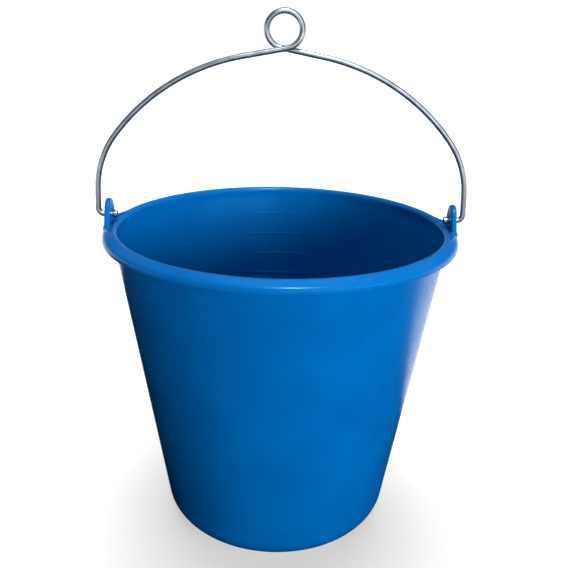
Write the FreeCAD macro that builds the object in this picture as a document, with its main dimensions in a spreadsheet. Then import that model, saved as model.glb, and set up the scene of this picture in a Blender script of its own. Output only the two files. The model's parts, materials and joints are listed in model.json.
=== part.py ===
import FreeCAD, Part
import math
import os

import Sketcher

# Feed bucket: a moulded plastic bucket and the wire bail that hinges in its two ears.
# Millimetres. +Z is up, the origin is the centre of the base on the floor, and the hinge line of
# the bail runs along X, through the ears.

Vector = FreeCAD.Vector
Constraint = Sketcher.Constraint

doc = FreeCAD.newDocument("feed_bucket")

# ---------------------------------------------------------------- driving sizes
# Each row is a name, its value in millimetres or degrees, and what it is.
SIZES = [
    ("bucket_height", 293.0, "floor to the top of the rim"),
    ("rim_radius", 160.0, "outside of the rim"),
    ("rim_width", 13.0, "rim, from its inner edge to its outside"),
    ("rim_skirt", 9.8, "drop of the rim's outer face below the rim's top"),
    ("rim_skin", 5.0, "rim's top to the channel under it"),
    ("skirt_thickness", 2.6, "outer wall of the rim"),
    ("rim_corner", 5.0, "rounding of the rim's outer top edge"),
    ("rim_slope", 28.0, "fall of the rim's top towards the outside, degrees"),
    ("bead_corner", 4.0, "rounding of the rim's inner top edge"),
    ("wall_inset", 9.25, "outside of the wall's top, inside the rim's outside"),
    ("wall_draft", 8.95, "lean of the wall from upright, degrees"),
    ("wall_thickness", 3.0, "wall and base"),
    ("foot_radius", 27.0, "rounding between the wall and the base"),
    ("ring_width", 5.0, "flat land of the standing ring"),
    ("base_recess", 3.0, "base, above the floor inside the standing ring"),
    ("ear_thickness", 5.0, "ear plate"),
    ("ear_inset", 1.3, "ear's outer face, inside the rim's outside"),
    ("ear_foot", 31.0, "ear's width where it leaves the rim"),
    ("ear_height", 20.5, "ear's top above the rim's top"),
    ("ear_top_radius", 10.0, "rounding of the ear's top"),
    ("ear_edge", 1.6, "rounding of the ear's edges"),
    ("land_drop", 0.8, "ear's land, below the rim's top"),
    ("land_inset", 0.2, "land's outer edge, inside the rim's outside"),
    ("land_full", 7.2, "half angle over which the land has its full width, degrees"),
    ("land_reach", 25.5, "half angle at which the land runs out, degrees"),
    ("land_root", 9.0, "land's inner edge, inside the rim's outside"),
    ("pivot_height", 6.0, "hinge line above the rim's top"),
    ("pivot_clearance", 0.3, "gap all round the wire in the ear's hole"),
    ("mark_count", 4.0, "graduation marks inside"),
    ("mark_drop", 29.0, "top graduation mark, below the rim's top"),
    ("mark_pitch", 22.0, "from one graduation mark to the next"),
    ("mark_width", 2.0, "height of a graduation mark"),
    ("mark_proud", 0.5, "graduation mark, out from the wall"),
    ("mark_angle", 26.0, "turn that a graduation mark covers, degrees"),
    ("wire_diameter", 5.0, "bail wire"),
    ("leg_gap", 3.7, "from the rim's outside to the wire where the leg starts"),
    ("leg_lean", 2.4, "inward lean of the legs, degrees"),
    ("bend_radius", 6.0, "centreline of the bend into the ear"),
    ("shoulder_radius", 84.0, "centreline of the bend from leg to arch"),
    ("arch_margin", 20.8, "centreline of the arch, beyond half the span of the legs"),
    ("arch_drop", 43.4, "centre of the arch below the hinge line"),
    ("eye_radius", 15.0, "centreline of the hanging eye"),
    ("eye_stand", 3.6, "foot of the eye above the crown of the arch's circle"),
    ("eye_gap", 0.3, "gap between the two arms where they cross"),
    ("eye_pitch_angle", 5.0, "lean of the wire at the top of the eye, degrees"),
    ("head_proud", 0.7, "upset end of the wire, beyond the wire all round"),
    ("head_length", 3.4, "thickness of the upset end"),
    ("head_edge", 0.6, "rounding of the upset end"),
    ("head_play", 1.4, "from the ear's inner face to the upset end"),
]

sheet = doc.addObject("Spreadsheet::Sheet", "sizes")
for row, (alias, value, note) in enumerate(SIZES, start=1):
    sheet.set(f"A{row}", alias)
    sheet.set(f"B{row}", str(value))
    sheet.setAlias(f"B{row}", alias)
    sheet.set(f"C{row}", note)
doc.recompute()


def size(alias):
    """The value of one cell of the sheet."""
    return float(getattr(sheet, alias))


def origin_plane(body, role):
    """One of a body's own origin planes or axes, found by its role."""
    for feature in body.Origin.OriginFeatures:
        if feature.Role == role:
            return feature
    raise ValueError(role)


def new_sketch(body, name, role, offset=None):
    """A sketch on one of the body's origin planes, moved along the normal by an expression."""
    sketch = body.newObject("Sketcher::SketchObject", name)
    sketch.AttachmentSupport = [(origin_plane(body, role), "")]
    sketch.MapMode = "FlatFace"
    if offset is not None:
        sketch.setExpression("AttachmentOffset.Base.z", offset)
    doc.recompute()
    return sketch


def measure(sketch, name, expression, *constraint):
    """A named dimension of a sketch, bound to the sheet."""
    index = sketch.addConstraint(Constraint(*constraint))
    sketch.renameConstraint(index, name)
    sketch.setExpression("Constraints." + name, expression)


def line(x1, y1, x2, y2):
    return Part.LineSegment(Vector(x1, y1, 0), Vector(x2, y2, 0))


def arc(x, y, radius, start, end):
    """An arc about (x, y), anticlockwise from one angle in degrees to the other."""
    circle = Part.Circle(Vector(x, y, 0), Vector(0, 0, 1), radius)
    return Part.ArcOfCircle(circle, math.radians(start), math.radians(end))


# Ends and centre of an element of a sketch, and the sketch's own axes.
START, END, CENTRE = 1, 2, 3
X_AXIS, Y_AXIS = -1, -2
ORIGIN = (-1, 1)


# ---------------------------------------------------------------- the moulding
bucket = doc.addObject("PartDesign::Body", "bucket")
bucket.Label = "bucket"


def shell_sketch():
    """Half section of base, foot, wall and rim, drawn from the axis outwards and back."""
    top = size("bucket_height")
    rim = size("rim_radius")
    wall = size("wall_thickness")
    recess = size("base_recess")
    foot = size("foot_radius")
    draft = math.radians(size("wall_draft"))
    corner = size("rim_corner")
    bead = size("bead_corner")
    skirt = rim - size("skirt_thickness")
    skin = top - size("rim_skin")
    hem = top - size("rim_skirt")
    inner = rim - size("rim_width")
    wall_top = rim - size("wall_inset")

    # First places of the points, from the same sizes; the constraints then hold them.
    def wall_radius(height, offset):
        return wall_top - offset / math.cos(draft) - (skin - height) * math.tan(draft)

    foot_x = wall_radius(foot, foot)
    inside = foot - wall
    floor = recess + wall
    inside_x = wall_radius(floor + inside, foot)
    outer_x = foot_x + foot * math.cos(draft)
    outer_y = foot - foot * math.sin(draft)
    inner_x = inside_x + inside * math.cos(draft)
    inner_y = floor + inside - inside * math.sin(draft)
    meet = skin - (wall_top - wall / math.cos(draft) - inner) / math.tan(draft)
    slope = math.radians(size("rim_slope"))
    bead_x = inner + bead
    corner_x = rim - corner
    run = corner_x - bead_x
    corner_y = top - bead - (run + (corner - bead) * math.sin(slope)) * math.tan(slope)
    corner_y -= (corner - bead) * math.cos(slope)
    slope_up = 90 - size("rim_slope")
    tilt = size("wall_draft")

    shapes = [
        line(0, recess, foot_x - size("ring_width"), recess),
        line(foot_x - size("ring_width"), recess, foot_x - size("ring_width"), 0),
        line(foot_x - size("ring_width"), 0, foot_x, 0),
        arc(foot_x, foot, foot, 270, 360 - tilt),
        line(outer_x, outer_y, wall_top, skin),
        line(wall_top, skin, skirt, skin),
        line(skirt, skin, skirt, hem),
        line(skirt, hem, rim, hem),
        line(rim, hem, rim, corner_y),
        arc(corner_x, corner_y, corner, 0, slope_up),
        line(corner_x + corner * math.sin(slope), corner_y + corner * math.cos(slope),
             bead_x + bead * math.sin(slope), top - bead + bead * math.cos(slope)),
        arc(bead_x, top - bead, bead, slope_up, 180),
        line(inner, top - bead, inner, meet),
        line(inner, meet, inner_x, inner_y),
        arc(inside_x, floor + inside, inside, 270, 360 - tilt),
        line(inside_x, floor, 0, floor),
        line(0, floor, 0, recess),
    ]
    (base, ring_side, ring, foot_arc, outside, channel, skirt_side, hem_line, rim_side, rim_arc,
     rim_top, bead_arc, inner_side, inside_wall, inside_arc, floor_line, axis) = range(len(shapes))

    sketch = new_sketch(bucket, "shell_section", "XZ_Plane")
    for shape in shapes:
        sketch.addGeometry(shape, False)

    joined = [(base, ring_side), (ring_side, ring), (outside, channel), (channel, skirt_side),
              (skirt_side, hem_line), (hem_line, rim_side), (inner_side, inside_wall),
              (floor_line, axis), (axis, base)]
    for first, second in joined:
        sketch.addConstraint(Constraint("Coincident", first, END, second, START))
    # An arc drawn anticlockwise along the outline joins START then END; the inside one is reversed.
    tangent = [(ring, END, foot_arc, START), (foot_arc, END, outside, START),
               (rim_side, END, rim_arc, START), (rim_arc, END, rim_top, START),
               (rim_top, END, bead_arc, START), (bead_arc, END, inner_side, START),
               (inside_wall, END, inside_arc, END), (inside_arc, START, floor_line, START)]
    for constraint in tangent:
        sketch.addConstraint(Constraint("Tangent", *constraint))
    for level in (base, ring, channel, hem_line, floor_line):
        sketch.addConstraint(Constraint("Horizontal", level))
    for upright in (ring_side, skirt_side, rim_side, inner_side):
        sketch.addConstraint(Constraint("Vertical", upright))
    sketch.addConstraint(Constraint("PointOnObject", base, START, Y_AXIS))
    sketch.addConstraint(Constraint("PointOnObject", floor_line, END, Y_AXIS))
    sketch.addConstraint(Constraint("PointOnObject", ring, START, X_AXIS))
    sketch.addConstraint(Constraint("Parallel", outside, inside_wall))

    measure(sketch, "recess", "sizes.base_recess", "DistanceY", *ORIGIN, base, START, recess)
    measure(sketch, "ring", "sizes.ring_width", "DistanceX", ring, START, ring, END,
            size("ring_width"))
    measure(sketch, "foot", "sizes.foot_radius", "Radius", foot_arc, foot)
    measure(sketch, "draft", "(90 - sizes.wall_draft) * 1 deg", "Angle", outside,
            math.pi / 2 - draft)
    measure(sketch, "wall_top", "sizes.rim_radius - sizes.wall_inset", "DistanceX", *ORIGIN,
            outside, END, wall_top)
    measure(sketch, "skin", "sizes.bucket_height - sizes.rim_skin", "DistanceY", *ORIGIN,
            outside, END, skin)
    measure(sketch, "skirt", "sizes.rim_radius - sizes.skirt_thickness", "DistanceX", *ORIGIN,
            skirt_side, END, skirt)
    measure(sketch, "hem", "sizes.bucket_height - sizes.rim_skirt", "DistanceY", *ORIGIN,
            hem_line, START, hem)
    measure(sketch, "rim", "sizes.rim_radius", "DistanceX", *ORIGIN, rim_side, START, rim)
    measure(sketch, "rim_corner", "sizes.rim_corner", "Radius", rim_arc, corner)
    measure(sketch, "rim_slope", "(180 - sizes.rim_slope) * 1 deg", "Angle", rim_top,
            math.pi - slope)
    measure(sketch, "bead", "sizes.bead_corner", "Radius", bead_arc, bead)
    measure(sketch, "top", "sizes.bucket_height - sizes.bead_corner", "DistanceY", *ORIGIN,
            bead_arc, CENTRE, top - bead)
    measure(sketch, "inner", "sizes.rim_radius - sizes.rim_width", "DistanceX", *ORIGIN,
            inner_side, END, inner)
    measure(sketch, "wall", "sizes.wall_thickness", "Distance", inside_wall, END, outside, wall)
    measure(sketch, "inside", "sizes.foot_radius - sizes.wall_thickness", "Radius", inside_arc,
            inside)
    measure(sketch, "floor", "sizes.base_recess + sizes.wall_thickness", "DistanceY", *ORIGIN,
            floor_line, END, floor)
    return sketch


shell = bucket.newObject("PartDesign::Revolution", "shell")
shell_section = shell_sketch()
shell.Profile = shell_section
shell.ReferenceAxis = (shell_section, ["V_Axis"])
shell.Angle = 360
shell_section.Visibility = False
bucket.Tip = shell
doc.recompute()


def land_sketch():
    """Plan of the flat land beside an ear: full width at the ear, running out along the rim."""
    outer = size("rim_radius") - size("land_inset")
    root = size("rim_radius") - size("land_root")
    full = size("land_full")
    reach = size("land_reach")

    def place(radius, angle):
        turn = math.radians(angle)
        return radius * math.cos(turn), radius * math.sin(turn)

    sketch = new_sketch(bucket, "land_plan", "XY_Plane", "sizes.bucket_height - sizes.rim_skirt")
    outer_arc, back, root_arc, front = range(4)
    sketch.addGeometry(arc(0, 0, outer, -full, full), False)
    sketch.addGeometry(line(*place(outer, full), *place(root, reach)), False)
    sketch.addGeometry(arc(0, 0, root, -reach, reach), False)
    sketch.addGeometry(line(*place(root, -reach), *place(outer, -full)), False)
    for first, first_end, second, second_end in (
            (outer_arc, END, back, START), (back, END, root_arc, END),
            (root_arc, START, front, START), (front, END, outer_arc, START)):
        sketch.addConstraint(Constraint("Coincident", first, first_end, second, second_end))
    for edge in (outer_arc, root_arc):
        sketch.addConstraint(Constraint("Coincident", edge, CENTRE, *ORIGIN))
        sketch.addConstraint(Constraint("Symmetric", edge, START, edge, END, X_AXIS))
    measure(sketch, "outer", "sizes.rim_radius - sizes.land_inset", "Radius", outer_arc, outer)
    measure(sketch, "root", "sizes.rim_radius - sizes.land_root", "Radius", root_arc, root)
    measure(sketch, "full", "(sizes.rim_radius - sizes.land_inset) * sin(sizes.land_full * 1 deg)",
            "DistanceY", *ORIGIN, outer_arc, END, place(outer, full)[1])
    measure(sketch, "reach", "(sizes.rim_radius - sizes.land_root) * sin(sizes.land_reach * 1 deg)",
            "DistanceY", *ORIGIN, root_arc, END, place(root, reach)[1])
    return sketch


def ear_sketch():
    """Outline of an ear: upright root in the rim, straight sloping sides, round top."""
    half = size("ear_foot") / 2
    root = size("bucket_height") - size("rim_skirt")
    level = size("bucket_height") - size("land_drop")
    radius = size("ear_top_radius")
    centre = size("bucket_height") + size("ear_height") - radius
    # The sloping side touches the top arc at this angle above the horizontal.
    reach = math.hypot(half, centre - level)
    lean = math.atan2(centre - level, half)
    touch = math.asin(radius / reach) + lean
    angle = math.degrees(math.pi / 2 - touch)
    side_x = radius * math.cos(math.radians(angle))
    side_y = centre + radius * math.sin(math.radians(angle))

    sketch = new_sketch(bucket, "ear_outline", "YZ_Plane",
                        "sizes.rim_radius - sizes.ear_inset - sizes.ear_thickness")
    bottom, back_root, back, top, front, front_root = range(6)
    sketch.addGeometry(line(-half, root, half, root), False)
    sketch.addGeometry(line(half, root, half, level), False)
    sketch.addGeometry(line(half, level, side_x, side_y), False)
    sketch.addGeometry(arc(0, centre, radius, angle, 180 - angle), False)
    sketch.addGeometry(line(-side_x, side_y, -half, level), False)
    sketch.addGeometry(line(-half, level, -half, root), False)
    for first, second in ((bottom, back_root), (back_root, back), (front, front_root),
                          (front_root, bottom)):
        sketch.addConstraint(Constraint("Coincident", first, END, second, START))
    sketch.addConstraint(Constraint("Tangent", back, END, top, START))
    sketch.addConstraint(Constraint("Tangent", top, END, front, START))
    sketch.addConstraint(Constraint("Vertical", back_root))
    sketch.addConstraint(Constraint("Symmetric", bottom, START, bottom, END, Y_AXIS))
    sketch.addConstraint(Constraint("PointOnObject", top, CENTRE, Y_AXIS))
    sketch.addConstraint(Constraint("Symmetric", back, START, front, END, Y_AXIS))
    measure(sketch, "foot", "sizes.ear_foot", "DistanceX", bottom, START, bottom, END, 2 * half)
    measure(sketch, "root", "sizes.bucket_height - sizes.rim_skirt", "DistanceY", *ORIGIN,
            bottom, START, root)
    measure(sketch, "level", "sizes.bucket_height - sizes.land_drop", "DistanceY", *ORIGIN,
            back, START, level)
    measure(sketch, "top_radius", "sizes.ear_top_radius", "Radius", top, radius)
    measure(sketch, "centre", "sizes.bucket_height + sizes.ear_height - sizes.ear_top_radius",
            "DistanceY", *ORIGIN, top, CENTRE, centre)
    return sketch


def hole_sketch():
    """The hole that the bail's end turns in."""
    sketch = new_sketch(bucket, "hole_outline", "YZ_Plane",
                        "sizes.rim_radius - sizes.ear_inset - sizes.ear_thickness")
    height = size("bucket_height") + size("pivot_height")
    radius = size("wire_diameter") / 2 + size("pivot_clearance")
    sketch.addGeometry(Part.Circle(Vector(0, height, 0), Vector(0, 0, 1), radius), False)
    sketch.addConstraint(Constraint("PointOnObject", 0, CENTRE, Y_AXIS))
    measure(sketch, "height", "sizes.bucket_height + sizes.pivot_height", "DistanceY", *ORIGIN,
            0, CENTRE, height)
    measure(sketch, "radius", "sizes.wire_diameter / 2 + sizes.pivot_clearance", "Radius", 0,
            radius)
    return sketch


def pad(sketch, name, length):
    feature = bucket.newObject("PartDesign::Pad", name)
    feature.Profile = sketch
    feature.setExpression("Length", length)
    doc.recompute()
    return feature


land = pad(land_sketch(), "land", "sizes.rim_skirt - sizes.land_drop")
ear = pad(ear_sketch(), "ear", "sizes.ear_thickness")

hole = bucket.newObject("PartDesign::Pocket", "ear_hole")
hole.Profile = hole_sketch()
hole.setExpression("Length", "sizes.ear_thickness")
hole.Reversed = True
doc.recompute()

pair = bucket.newObject("PartDesign::PolarPattern", "both_ears")
pair.Originals = [land, ear, hole]
pair.Axis = (origin_plane(bucket, "Z_Axis"), [""])
pair.Angle = 360
pair.Occurrences = 2
bucket.Tip = pair
doc.recompute()


def marks_sketch():
    """Section of the graduation marks, short ribs on the inside of the wall."""
    sketch = new_sketch(bucket, "marks_section", "YZ_Plane")
    draft = math.radians(size("wall_draft"))
    width = size("mark_width")
    root = size("wall_thickness") / 2
    for index in range(int(size("mark_count"))):
        height = size("bucket_height") - size("mark_drop") - index * size("mark_pitch")
        face = (size("rim_radius") - size("wall_inset") - size("wall_thickness") / math.cos(draft)
                - (size("bucket_height") - size("rim_skin") - height) * math.tan(draft))
        near = face - size("mark_proud")
        far = face + root
        first = 4 * index
        corners = [(near, height), (far, height), (far, height + width), (near, height + width)]
        for (x1, y1), (x2, y2) in zip(corners, corners[1:] + corners[:1]):
            sketch.addGeometry(line(x1, y1, x2, y2), False)
        for side in range(4):
            following = first + (side + 1) % 4
            sketch.addConstraint(Constraint("Coincident", first + side, END, following, START))
        for side in (0, 2):
            sketch.addConstraint(Constraint("Horizontal", first + side))
            sketch.addConstraint(Constraint("Vertical", first + side + 1))
        level = f"(sizes.bucket_height - sizes.mark_drop - {index} * sizes.mark_pitch)"
        wall_face = ("(sizes.rim_radius - sizes.wall_inset"
                     " - sizes.wall_thickness / cos(sizes.wall_draft * 1 deg)"
                     f" - (sizes.bucket_height - sizes.rim_skin - {level})"
                     " * tan(sizes.wall_draft * 1 deg))")
        measure(sketch, f"height{index}", level, "DistanceY", *ORIGIN, first, START, height)
        measure(sketch, f"width{index}", "sizes.mark_width", "DistanceY", first + 1, START,
                first + 1, END, width)
        measure(sketch, f"near{index}", f"{wall_face} - sizes.mark_proud", "DistanceX", *ORIGIN,
                first, START, near)
        measure(sketch, f"far{index}", f"{wall_face} + sizes.wall_thickness / 2", "DistanceX",
                *ORIGIN, first, END, far)
    return sketch


marks = bucket.newObject("PartDesign::Revolution", "marks")
marks_section = marks_sketch()
marks.Profile = marks_section
marks.ReferenceAxis = (marks_section, ["V_Axis"])
marks.Midplane = True
marks.setExpression("Angle", "sizes.mark_angle")
bucket.Tip = marks
doc.recompute()


def edge_names(shape, wanted):
    """Names of the edges whose middle point satisfies the test."""
    names = []
    for index, edge in enumerate(shape.Edges, start=1):
        middle = edge.valueAt((edge.FirstParameter + edge.LastParameter) / 2)
        if wanted(edge, middle):
            names.append(f"Edge{index}")
    return names


def fillet(name, radius, wanted):
    base = bucket.Tip
    feature = bucket.newObject("PartDesign::Fillet", name)
    feature.Base = (base, edge_names(base.Shape, wanted))
    feature.setExpression("Radius", radius)
    bucket.Tip = feature
    doc.recompute()
    return feature


def on_ear_edge(edge, middle):
    """Sides and top of an ear, on both its faces, above the rim but not round the hole."""
    outer = size("rim_radius") - size("ear_inset")
    faces = (outer, outer - size("ear_thickness"))
    on_face = any(abs(abs(middle.x) - face) < 1e-4 for face in faces)
    hole_edge = isinstance(edge.Curve, Part.Circle) and edge.Curve.Radius < size("wire_diameter")
    upright = abs(edge.Vertexes[0].Point.x - edge.Vertexes[-1].Point.x) < 1e-4
    return on_face and upright and not hole_edge and middle.z > size("bucket_height")


fillet("ear_edges", "sizes.ear_edge", on_ear_edge)

# ---------------------------------------------------------------- the bail
# The wire's centreline is straight runs joined by tangent arcs. Each arm lies in a plane of its
# own, turned a little about its leg, so that one arm passes in front of the other at the eye.
# The right arm is the left arm turned half round about Z.
hinge_z = size("bucket_height") + size("pivot_height")
ear_inside = size("rim_radius") - size("ear_inset") - size("ear_thickness")
head_inside = ear_inside - size("head_play") - size("head_length")
leg_x = size("rim_radius") + size("leg_gap") + size("wire_diameter") / 2
arch_radius = leg_x + size("arch_margin")
arch_z = hinge_z - size("arch_drop")
eye_z = arch_z + arch_radius + size("eye_stand") + size("eye_radius")


def arc_at(start, corner, end):
    """Arc that leaves start and reaches end along the lines to their common corner."""
    chord = (end - start).Length / 2
    middle = (start + end) * 0.5
    rise = (corner - middle).Length
    turn = 2 * math.atan2(rise, chord)
    step = (corner - middle) * (chord * math.tan(turn / 4) / rise)
    return Part.Arc(start, middle + step, end)


def corner_of(start, along, end, against):
    """Meeting point of the line from start and the line back from end, in one plane."""
    across = along.cross(against)
    distance = (end - start).cross(against).dot(across) / across.dot(across)
    return start + along * distance


def arm_points():
    """Joints of the left arm in its own flat plane, as (x, z) in front view."""
    lean = math.radians(size("leg_lean"))
    shoulder = size("shoulder_radius")
    eye = size("eye_radius")
    up = Vector(math.sin(lean), 0, math.cos(lean))
    inward = Vector(math.cos(lean), 0, -math.sin(lean))
    foot = Vector(-leg_x, 0, hinge_z)

    bend = size("bend_radius")
    bend_length = bend * math.tan((math.pi / 2 - lean) / 2)
    bend_end = foot + up * bend_length

    # The shoulder's centre is one shoulder radius inside the leg, and its arc meets the arch's
    # from within, so the two centres are the difference of the radii apart.
    arch_centre = Vector(0, 0, arch_z)
    offset = foot + inward * shoulder - arch_centre
    along = offset.dot(up)
    apart = offset.dot(offset) - (arch_radius - shoulder) ** 2
    leg_length = -along + math.sqrt(along ** 2 - apart)
    shoulder_start = foot + up * leg_length
    shoulder_centre = shoulder_start + inward * shoulder
    outward = (shoulder_centre - arch_centre).normalize()
    arch_start = arch_centre + outward * arch_radius

    # The straight run into the eye is the inner tangent of the arch's circle and the eye's.
    rise = math.acos((arch_radius + eye) / (eye_z - arch_z))
    arch_end = arch_centre + Vector(-math.sin(rise), 0, math.cos(rise)) * arch_radius
    eye_start = Vector(eye * math.sin(rise), 0, eye_z - eye * math.cos(rise))
    run = Vector(math.cos(rise), 0, math.sin(rise))
    arch_tangent = Vector(outward.z, 0, -outward.x)
    shoulder_corner = corner_of(shoulder_start, up, arch_start, arch_tangent)
    arch_corner = corner_of(arch_start, arch_tangent, arch_end, run)
    bend_start = foot + Vector(bend_length, 0, 0)
    return {"bend_start": bend_start, "foot": foot, "bend_end": bend_end, "up": up,
            "shoulder_start": shoulder_start, "shoulder_corner": shoulder_corner,
            "arch_start": arch_start, "arch_corner": arch_corner, "arch_end": arch_end,
            "eye_start": eye_start, "run": run, "eye_top": eye_z + eye}


def left_arm_edges():
    """Edges of the left arm in space, from its end in the ear to the top of the eye."""
    flat = arm_points()
    # Turned about the leg so that the wire is half a wire and half a gap to the front where it
    # crosses the middle.
    reach = leg_x * math.cos(math.radians(size("leg_lean")))
    offset = (size("wire_diameter") + size("eye_gap")) / 2
    turn = FreeCAD.Rotation(flat["up"], -math.degrees(math.asin(offset / reach)))

    def turned(name):
        return flat["foot"] + turn.multVec(flat[name] - flat["foot"])

    start = Vector(-(head_inside + size("head_length") / 2), 0, hinge_z)
    shoulder_start = turned("shoulder_start")
    arch_start = turned("arch_start")
    arch_end = turned("arch_end")
    eye_start = turned("eye_start")
    run = turn.multVec(flat["run"])

    # Half of the eye is two tangent arcs, whose joint is found from equal tangent lengths.
    top = Vector(0, 0, flat["eye_top"])
    pitch = math.radians(size("eye_pitch_angle"))
    top_run = Vector(-math.cos(pitch), -math.sin(pitch), 0)
    span = top - eye_start
    both = run + top_run
    square = 2 * (1 - run.dot(top_run))
    along = span.dot(both)
    tangent = (-along + math.sqrt(along ** 2 + square * span.dot(span))) / square
    first_corner = eye_start + run * tangent
    second_corner = top - top_run * tangent
    eye_side = (first_corner + second_corner) * 0.5

    curves = [
        Part.LineSegment(start, flat["bend_start"]),
        arc_at(flat["bend_start"], flat["foot"], flat["bend_end"]),
        Part.LineSegment(flat["bend_end"], shoulder_start),
        arc_at(shoulder_start, turned("shoulder_corner"), arch_start),
        arc_at(arch_start, turned("arch_corner"), arch_end),
        Part.LineSegment(arch_end, eye_start),
        arc_at(eye_start, first_corner, eye_side),
        arc_at(eye_side, second_corner, top),
    ]
    return [curve.toShape() for curve in curves]


left_edges = left_arm_edges()
right_edges = [edge.rotated(Vector(0, 0, 0), Vector(0, 0, 1), 180) for edge in left_edges]
centreline = doc.addObject("Part::Feature", "bail_centreline")
centreline.Shape = Part.Wire(left_edges + right_edges[::-1])

section = doc.addObject("Part::Circle", "bail_section")
section.setExpression("Radius", "sizes.wire_diameter / 2")
section.Placement = FreeCAD.Placement(left_edges[0].Vertexes[0].Point,
                                      FreeCAD.Rotation(Vector(0, 1, 0), 90))

rod = doc.addObject("Part::Sweep", "bail_rod")
rod.Sections = [section]
rod.Spine = (centreline, [f"Edge{index + 1}" for index in range(len(centreline.Shape.Edges))])
rod.Solid = True
rod.Frenet = False

heads = []
for side, name in ((-1, "left_head"), (1, "right_head")):
    blank = doc.addObject("Part::Cylinder", name + "_blank")
    blank.setExpression("Radius", "sizes.wire_diameter / 2 + sizes.head_proud")
    blank.setExpression("Height", "sizes.head_length")
    blank.Placement = FreeCAD.Placement(Vector(side * head_inside, 0, hinge_z),
                                        FreeCAD.Rotation(Vector(0, 1, 0), side * 90))
    doc.recompute()
    head = doc.addObject("Part::Fillet", name)
    head.Base = blank
    rims = [index for index, edge in enumerate(blank.Shape.Edges, start=1)
            if isinstance(edge.Curve, Part.Circle)]
    head.Edges = [(index, size("head_edge"), size("head_edge")) for index in rims]
    heads.append(head)

bail = doc.addObject("Part::MultiFuse", "bail")
bail.Label = "bail"
bail.Shapes = [rod] + heads
doc.recompute()

# ---------------------------------------------------------------- checks
for item in doc.Objects:
    if "Invalid" in item.State or "Error" in item.State:
        raise RuntimeError(f"{item.Name} did not build: {item.State}")

pieces = [bucket, bail]
for piece in pieces:
    shape = piece.Shape
    if shape.isNull() or not shape.isValid() or len(shape.Solids) != 1:
        raise RuntimeError(f"{piece.Label} is not one valid solid")

wire_area = math.pi * (size("wire_diameter") / 2) ** 2
swept = rod.Shape.Volume / (wire_area * centreline.Shape.Length)
if abs(swept - 1) > 0.002:
    raise RuntimeError(f"the bail's wire lost its section: {swept:.4f}")

hole_radius = size("wire_diameter") / 2 + size("pivot_clearance")
lost = ear.Shape.Volume - hole.Shape.Volume
drilled = lost / (math.pi * hole_radius ** 2 * size("ear_thickness"))
if abs(drilled - 1) > 0.002:
    raise RuntimeError(f"the ear's hole is not right through: {drilled:.4f}")

gap = bucket.Shape.distToShape(bail.Shape)[0]
print(f"bucket to bail gap {gap:.3f} mm, wire {centreline.Shape.Length:.0f} mm long")
for piece in pieces:
    box = piece.Shape.optimalBoundingBox()
    print(f"{piece.Label}: volume {piece.Shape.Volume / 1000:.1f} cm3, "
          f"x {box.XMin:.2f} {box.XMax:.2f}, y {box.YMin:.2f} {box.YMax:.2f}, "
          f"z {box.ZMin:.2f} {box.ZMax:.2f}")

os.makedirs("parts", exist_ok=True)
for piece in pieces:
    piece.Shape.exportStep(os.path.join("parts", piece.Label + ".step"))
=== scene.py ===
import json
import math

import bpy
import numpy as np
from mathutils import Matrix, Vector


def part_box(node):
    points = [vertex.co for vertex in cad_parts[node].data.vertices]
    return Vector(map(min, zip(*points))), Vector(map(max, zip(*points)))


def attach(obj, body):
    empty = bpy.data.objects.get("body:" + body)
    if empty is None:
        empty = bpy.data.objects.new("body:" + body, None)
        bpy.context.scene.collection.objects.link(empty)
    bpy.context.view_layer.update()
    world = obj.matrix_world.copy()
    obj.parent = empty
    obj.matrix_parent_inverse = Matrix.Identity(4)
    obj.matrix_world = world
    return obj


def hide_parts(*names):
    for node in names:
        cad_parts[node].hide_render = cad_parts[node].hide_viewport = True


# Feed bucket: blue moulding and plated wire bail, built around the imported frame.
# Sizes in the dictionaries are millimetres and degrees; meshes go out in metres.

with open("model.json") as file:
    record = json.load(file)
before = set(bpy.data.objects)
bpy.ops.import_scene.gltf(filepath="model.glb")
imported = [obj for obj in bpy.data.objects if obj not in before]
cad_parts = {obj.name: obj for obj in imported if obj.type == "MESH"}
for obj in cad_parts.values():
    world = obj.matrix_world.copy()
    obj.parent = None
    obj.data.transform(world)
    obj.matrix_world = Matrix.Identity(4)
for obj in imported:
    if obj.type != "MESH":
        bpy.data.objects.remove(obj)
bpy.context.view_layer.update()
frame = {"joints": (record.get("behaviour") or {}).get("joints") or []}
mm = 0.001
earHeight = 20.5  # from the rim's top to the top of the ears


def highCorner(node):
    # highest x, y and z of a node's box
    return np.array(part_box(node)[1]) / mm


bucketHigh = highCorner("bucket")
bailHigh = highCorner("bail")
hingeZ = frame["joints"][0]["pos_m"][2] / mm
rimRadius = bucketHigh[0]
rimTop = bucketHigh[2] - earHeight
print("frame loaded, hinge line at", round(hingeZ, 1), "mm")


def toRadians(*angles):
    return np.radians(np.array(angles, float))


def arcRow(centreR, centreZ, radius, first, last, count):
    # circle about (centreR, centreZ), angle running evenly from first to last in degrees
    turn = np.radians(np.linspace(first, last, count))
    return np.stack([centreR + radius * np.cos(turn), centreZ + radius * np.sin(turn)])


def lineRow(start, end, shares):
    # straight run, at the given shares of its length
    shares = np.asarray(shares, float)
    return np.stack([first + (last - first) * shares for first, last in zip(start, end)])


def smoothStep(value):
    value = np.clip(value, 0, 1)
    return value * value * (3 - 2 * value)


def bump(value, centre, half, soft):
    # 1 within half of the centre, falling smoothly to 0 over soft
    return 1 - smoothStep((np.abs(value - centre) - half) / soft)


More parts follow.
